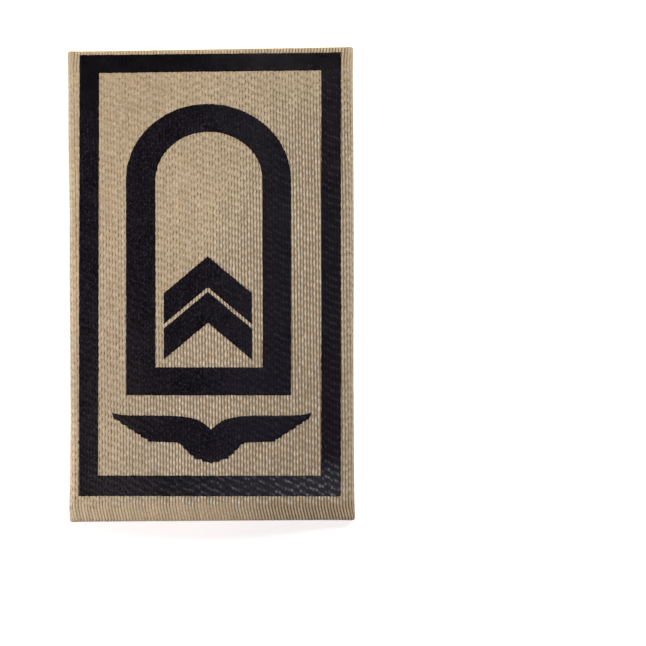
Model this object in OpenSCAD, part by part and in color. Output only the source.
// A slip-on rank slide: a wide woven ribbon wrapped into a flat open loop, with a printed front.
// The loop lies on its back: X across it, Y up the design, Z out of the printed face.
// The shoulder strap slips through it along Y. All sizes are in millimetres.

/* [Ribbon loop] */
// Width between the two side folds
loop_w = 60.3; // [54:0.1:70]
// Length, which is the width of the ribbon
loop_l = 100; // [96:0.5:115]
// Thickness of the woven ribbon
wall = 1; // [1:0.05:1.2]
// Outer radius of the pressed side folds
fold_r = 1.4; // [1.35:0.05:1.6]
// Rise of the front above the side folds, at its middle
crown = 5.2; // [5.2:0.1:7]
// How sharply the crown leaves the folds: higher keeps the sides flatter
crown_pinch = 1.4; // [1.2:0.05:1.8]
// Climb of the top edge from the left fold to the right one
top_climb = 1; // [-2:0.1:2]
// Climb of the bottom edge from the left fold to the right one
bottom_climb = 0.4; // [-2:0.1:2]

/* [Back seam] */
// Width over which the ribbon's two ends lie on each other
lap_w = 10; // [6:0.5:14]
// Run over which the upper end climbs onto the lower one
lap_ramp = 3; // [2:0.5:5]

/* [Print] */
// Thickness of the printed film
film = 0.25; // [0.2:0.05:0.4]
// Clearance between the film and the ribbon
film_gap = 0.05; // [0.03:0.01:0.1]
// Left edge of the border, from the loop's middle
border_left = -27.95; // [-28.2:0.05:-26]
// Right edge of the border, from the loop's middle
border_right = 27.45; // [26:0.05:27.8]
// Width of the border's two side bars
side_bar = 4.15; // [2:0.05:6]
// Height of the border's top bar
top_bar = 3.8; // [2:0.05:6]
// Height of the border's bottom bar
bottom_bar = 4.35; // [2:0.05:6]
// Bare ribbon between the bottom edge and the border
bottom_margin = 5.35; // [4:0.05:8]
// Bare ribbon between the border and the top edge
top_margin = 1.05; // [0.9:0.05:4]
// Climb of the border's top bar from left to right
border_climb = 0.6; // [-1:0.1:1]

/* [Arch] */
// Width of the arch outline
arch_w = 34.9; // [30:0.1:38]
// Height of the arch outline
arch_h = 61.6; // [50:0.1:64]
// Width of the arch's band
arch_band = 6.15; // [3:0.05:7]
// Height of the arch's base bar
arch_base = 5.9; // [3:0.05:7]
// Rise of the rounded top above its shoulders
arch_rise = 16.1; // [12:0.1:17.4]
// Distance of the arch's foot above the loop's bottom edge
arch_foot = 26.7; // [24:0.1:30]
// Place of the arch's middle, to the right of the loop's middle
arch_x = -0.55; // [-1.5:0.05:1.5]

/* [Chevrons] */
// Width of the chevrons
chevron_w = 18.65; // [14:0.05:20]
// Height of a chevron's arm, measured upright
chevron_arm = 6.55; // [4:0.05:7]
// Bare gap between the two chevrons, measured upright
chevron_gap = 0.95; // [0.6:0.05:2]
// Slope of the arms
chevron_slope = 0.84; // [0.6:0.01:1]
// Height of the upper point above the loop's bottom edge
chevron_top = 56.1; // [54:0.1:60]
// Place of the points, to the right of the loop's middle
chevron_x = -0.6; // [-1.5:0.05:1.5]

/* [Wings] */
// Span from tip to tip
wing_span = 42.4; // [36:0.1:46]
// Height of the wings' level line above the loop's bottom edge
wing_line = 22.3; // [20:0.1:24]
// Place of the wings' middle, to the right of the loop's middle
wing_x = 0.1; // [-1.5:0.05:1.5]
// Depth of the feather steps
feather_depth = 0.3; // [0.1:0.05:0.5]

/* [Hidden] */

// Half the difference of the climbs, so that the loop's box stays centred along Y
y_low = bottom_climb / 2 - (loop_l + top_climb / 2 + bottom_climb / 2) / 2;

// Outline of the loop, a row for each section from the bottom edge to the top edge
UP = 0;    // height of the section, as a share of the length
LEFT = 1;  // how far the left fold stands out past half the width
RIGHT = 2; // how far the right fold stands out past half the width
RISE = 3;  // crown of the section, as a share of the full crown
SECTIONS = [
    [0.000, -0.24,  0.38, 0.875],
    [0.034, -0.03,  0.29, 0.915],
    [0.088, -0.22,  0.21, 0.955],
    [0.215, -0.34,  0.12, 0.995],
    [0.373, -0.26,  0.06, 1.000],
    [0.500, -0.11,  0.12, 1.000],
    [0.659, -0.11,  0.10, 1.000],
    [0.817,  0.16,  0.04, 0.995],
    [0.944,  0.21, -0.09, 0.955],
    [1.000,  0.38, -0.05, 0.905]
];

// Steps across the front, and round each side fold
FRONT_STEPS = 28;
FOLD_STEPS = 8;
// Steps over half of the arch's rounded top
ARCH_STEPS = 24;
// Run of a cut ribbon end, seen on the section
CUT = 0.08;
// Height of the tunnel under the climbing end, as a share of the wall
TUNNEL = 0.85;

ribbon_tan = "#b09c7c";
print_ink = "#1d1b20";

function column(c) = [for (s = SECTIONS) [s[UP], s[c]]];
function left(t) = -loop_w / 2 - lookup(t, column(LEFT));
function right(t) = loop_w / 2 + lookup(t, column(RIGHT));
function rise(t) = crown * lookup(t, column(RISE));
function climb(t) = bottom_climb + (top_climb - bottom_climb) * t;

// A point of the section at height t, carried into space
function placed(p, t) = [p[0], y_low + loop_l * t + climb(t) * p[0] / loop_w, p[1]];

// Front of the section at share u of its width, moved inward by depth along its normal
function front_point(u, t, depth) =
    let (
        x0 = left(t) + fold_r,
        span = right(t) - left(t) - 2 * fold_r,
        w = 2 * u - 1,
        full = max(0, 1 - w * w),
        slope = -rise(t) * crown_pinch * pow(full, crown_pinch - 1) * 4 * w / span,
        n = sqrt(1 + slope * slope)
    )
    [x0 + u * span + depth * slope / n, 2 * fold_r + rise(t) * pow(full, crown_pinch) - depth / n];

// Round of a side fold, from one angle to the other, without its end points
function fold_points(cx, from, to, depth) = [
    for (i = [1 : FOLD_STEPS - 1])
        let (a = from + (to - from) * i / FOLD_STEPS)
        [cx + (fold_r - depth) * cos(a), fold_r + (fold_r - depth) * sin(a)]
];

// Back of the section, from the right fold to the left one: x, underside, upper side
function back_stations(t) =
    let (
        r = right(t) - fold_r,
        l = left(t) + fold_r,
        e = lap_w / 2
    )
    [
        [r, 0, wall],
        [e + CUT, 0, wall],
        [e, 0, 2 * wall],
        [-e, 0, 2 * wall],
        [-e - CUT, TUNNEL * wall, 2 * wall],
        [-e - lap_ramp, 0, wall],
        [l, 0, wall]
    ];

// Whole ring of the section: the outer face with depth 0, the inner face with depth wall
function ring(t, depth) = concat(
    [for (s = back_stations(t)) [s[0], depth == 0 ? s[1] : s[2]]],
    fold_points(left(t) + fold_r, 270, 90, depth),
    [for (i = [0 : FRONT_STEPS]) front_point(i / FRONT_STEPS, t, depth)],
    fold_points(right(t) - fold_r, 90, -90, depth)
);

// Faces of a closed skin of rows by count points, and of a flat strip between two rings
function skin(first, rows, count, flip) = [
    for (i = [0 : rows - 2], j = [0 : count - 1])
        let (
            a = first + i * count + j,
            b = first + i * count + (j + 1) % count
        )
        flip ? [a, b, b + count, a + count] : [a, a + count, b + count, b]
];
function cap(outer, inner, count, flip) = [
    for (j = [0 : count - 1])
        let (k = (j + 1) % count)
        flip ? [outer + j, inner + j, inner + k, outer + k] : [outer + j, outer + k, inner + k, inner + j]
];

// The ribbon as one tube with its lapped back seam, open at both ends
module sleeve() {
    outer = [for (s = SECTIONS) for (p = ring(s[UP], 0)) placed(p, s[UP])];
    inner = [for (s = SECTIONS) for (p = ring(s[UP], wall)) placed(p, s[UP])];
    rows = len(SECTIONS);
    count = len(ring(0, 0));
    total = rows * count;
    last = total - count;
    color(ribbon_tan)
        polyhedron(
            points = concat(outer, inner),
            faces = concat(
                skin(0, rows, count, false),
                skin(total, rows, count, true),
                cap(0, total, count, false),
                cap(last, total + last, count, true)
            ),
            convexity = 6
        );
}

// Layer of film that follows the front: each section is a closed ring of its lower and upper line
function film_ring(t) = concat(
    [for (i = [0 : FRONT_STEPS]) front_point(i / FRONT_STEPS, t, -film_gap - film)],
    [for (i = [FRONT_STEPS : -1 : 0]) front_point(i / FRONT_STEPS, t, -film_gap)]
);
function film_end(first, flip) = [
    for (i = [0 : FRONT_STEPS - 1])
        let (
            a = first + i,
            d = first + 2 * FRONT_STEPS + 1 - i
        )
        flip ? [a, d, d - 1, a + 1] : [a, a + 1, d - 1, d]
];
module film_layer() {
    rows = len(SECTIONS);
    count = 2 * (FRONT_STEPS + 1);
    polyhedron(
        points = [for (s = SECTIONS) for (p = film_ring(s[UP])) placed(p, s[UP])],
        faces = concat(
            skin(0, rows, count, false),
            film_end(0, false),
            film_end((rows - 1) * count, true)
        ),
        convexity = 4
    );
}

// A printed shape: its outline, cut out of the film
module printed() {
    color(print_ink)
        intersection() {
            film_layer();
            linear_extrude(height = 2 * fold_r + 2 * crown)
                children();
        }
}

// Height above the loop's bottom edge, as a place on Y
function above(h) = y_low + h;

// Rectangular border, whose top bar climbs with the ribbon's top edge
module border_print() {
    low = above(bottom_margin);
    high = above(loop_l - top_margin);
    half_climb = border_climb / 2;
    outer = [
        [border_left, low],
        [border_right, low],
        [border_right, high + half_climb],
        [border_left, high - half_climb]
    ];
    inner = [
        [border_left + side_bar, low + bottom_bar],
        [border_right - side_bar, low + bottom_bar],
        [border_right - side_bar, high - top_bar + half_climb],
        [border_left + side_bar, high - top_bar - half_climb]
    ];
    printed()
        difference() {
            polygon(outer);
            polygon(inner);
        }
}

// Arch: straight sides under half an ellipse
function arch_outline(half, foot, shoulder, rounded) = concat(
    [[half, foot]],
    [
        for (i = [-ARCH_STEPS : ARCH_STEPS])
            let (a = 90 + 90 * i / ARCH_STEPS)
            [half * cos(a), shoulder + rounded * sin(a)]
    ],
    [[-half, foot]]
);
module arch_print() {
    foot = above(arch_foot);
    shoulder = foot + arch_h - arch_rise;
    inner_half = arch_w / 2 - arch_band;
    inner_rise = arch_rise - arch_base;
    printed()
        translate([arch_x, 0])
            difference() {
                polygon(arch_outline(arch_w / 2, foot, shoulder, arch_rise));
                polygon(arch_outline(inner_half, foot + arch_base, shoulder, inner_rise));
            }
}

// Chevron that points up, with its point at height top
module chevron(top) {
    half = chevron_w / 2;
    drop = half * chevron_slope;
    printed()
        translate([chevron_x, above(top)])
            polygon([
                [0, 0],
                [half, -drop],
                [half, -drop - chevron_arm],
                [0, -chevron_arm],
                [-half, -drop - chevron_arm],
                [-half, -drop]
            ]);
}
module upper_chevron() {
    chevron(chevron_top);
}
module lower_chevron() {
    chevron(chevron_top - chevron_arm - chevron_gap);
}

// Upper edge of a wing, from the notch to the tip, as shares of half the span
FORE_EDGE = [
    [0.000, -0.135],
    [0.044, -0.093],
    [0.089, -0.062],
    [0.135, -0.035],
    [0.190, -0.021],
    [0.285, -0.004],
    [0.430,  0.004],
    [0.788,  0.006],
    [0.887,  0.009],
    [0.945,  0.020],
    [1.000,  0.036]
];
// Ends of the feathered slopes of the lower edge, as shares of half the span
WING_HEEL = [0.972, -0.033];
WING_KNEE = [0.632, -0.255];
TAIL_ROOT = [0.337, -0.265];
TAIL_SIDE = [0.167, -0.426];
TAIL_TIP = [0.000, -0.481];
// The edge of a feather draws in for this share of its step, then drops to the next feather
FEATHER_RUN = 0.78;
function feathered(from, to, feathers) =
    let (
        run = to - from,
        inward = [run[1], -run[0]] / norm(run) * feather_depth
    )
    [
        for (i = [0 : feathers - 1], part = [0, 1])
            from + run * (i + part * FEATHER_RUN) / feathers + part * inward
    ];
function half_wing(span) = concat(
    [for (p = FORE_EDGE) p * span],
    feathered(WING_HEEL * span, WING_KNEE * span, 5),
    [WING_KNEE * span],
    feathered(TAIL_ROOT * span, TAIL_SIDE * span, 3),
    feathered(TAIL_SIDE * span, TAIL_TIP * span, 2),
    [TAIL_TIP * span]
);
module wings() {
    half = half_wing(wing_span / 2);
    other_half = [for (i = [len(half) - 2 : -1 : 1]) [-half[i][0], half[i][1]]];
    printed()
        translate([wing_x, above(wing_line)])
            polygon(concat(half, other_half));
}

sleeve();
border_print();
arch_print();
upper_chevron();
lower_chevron();
wings();
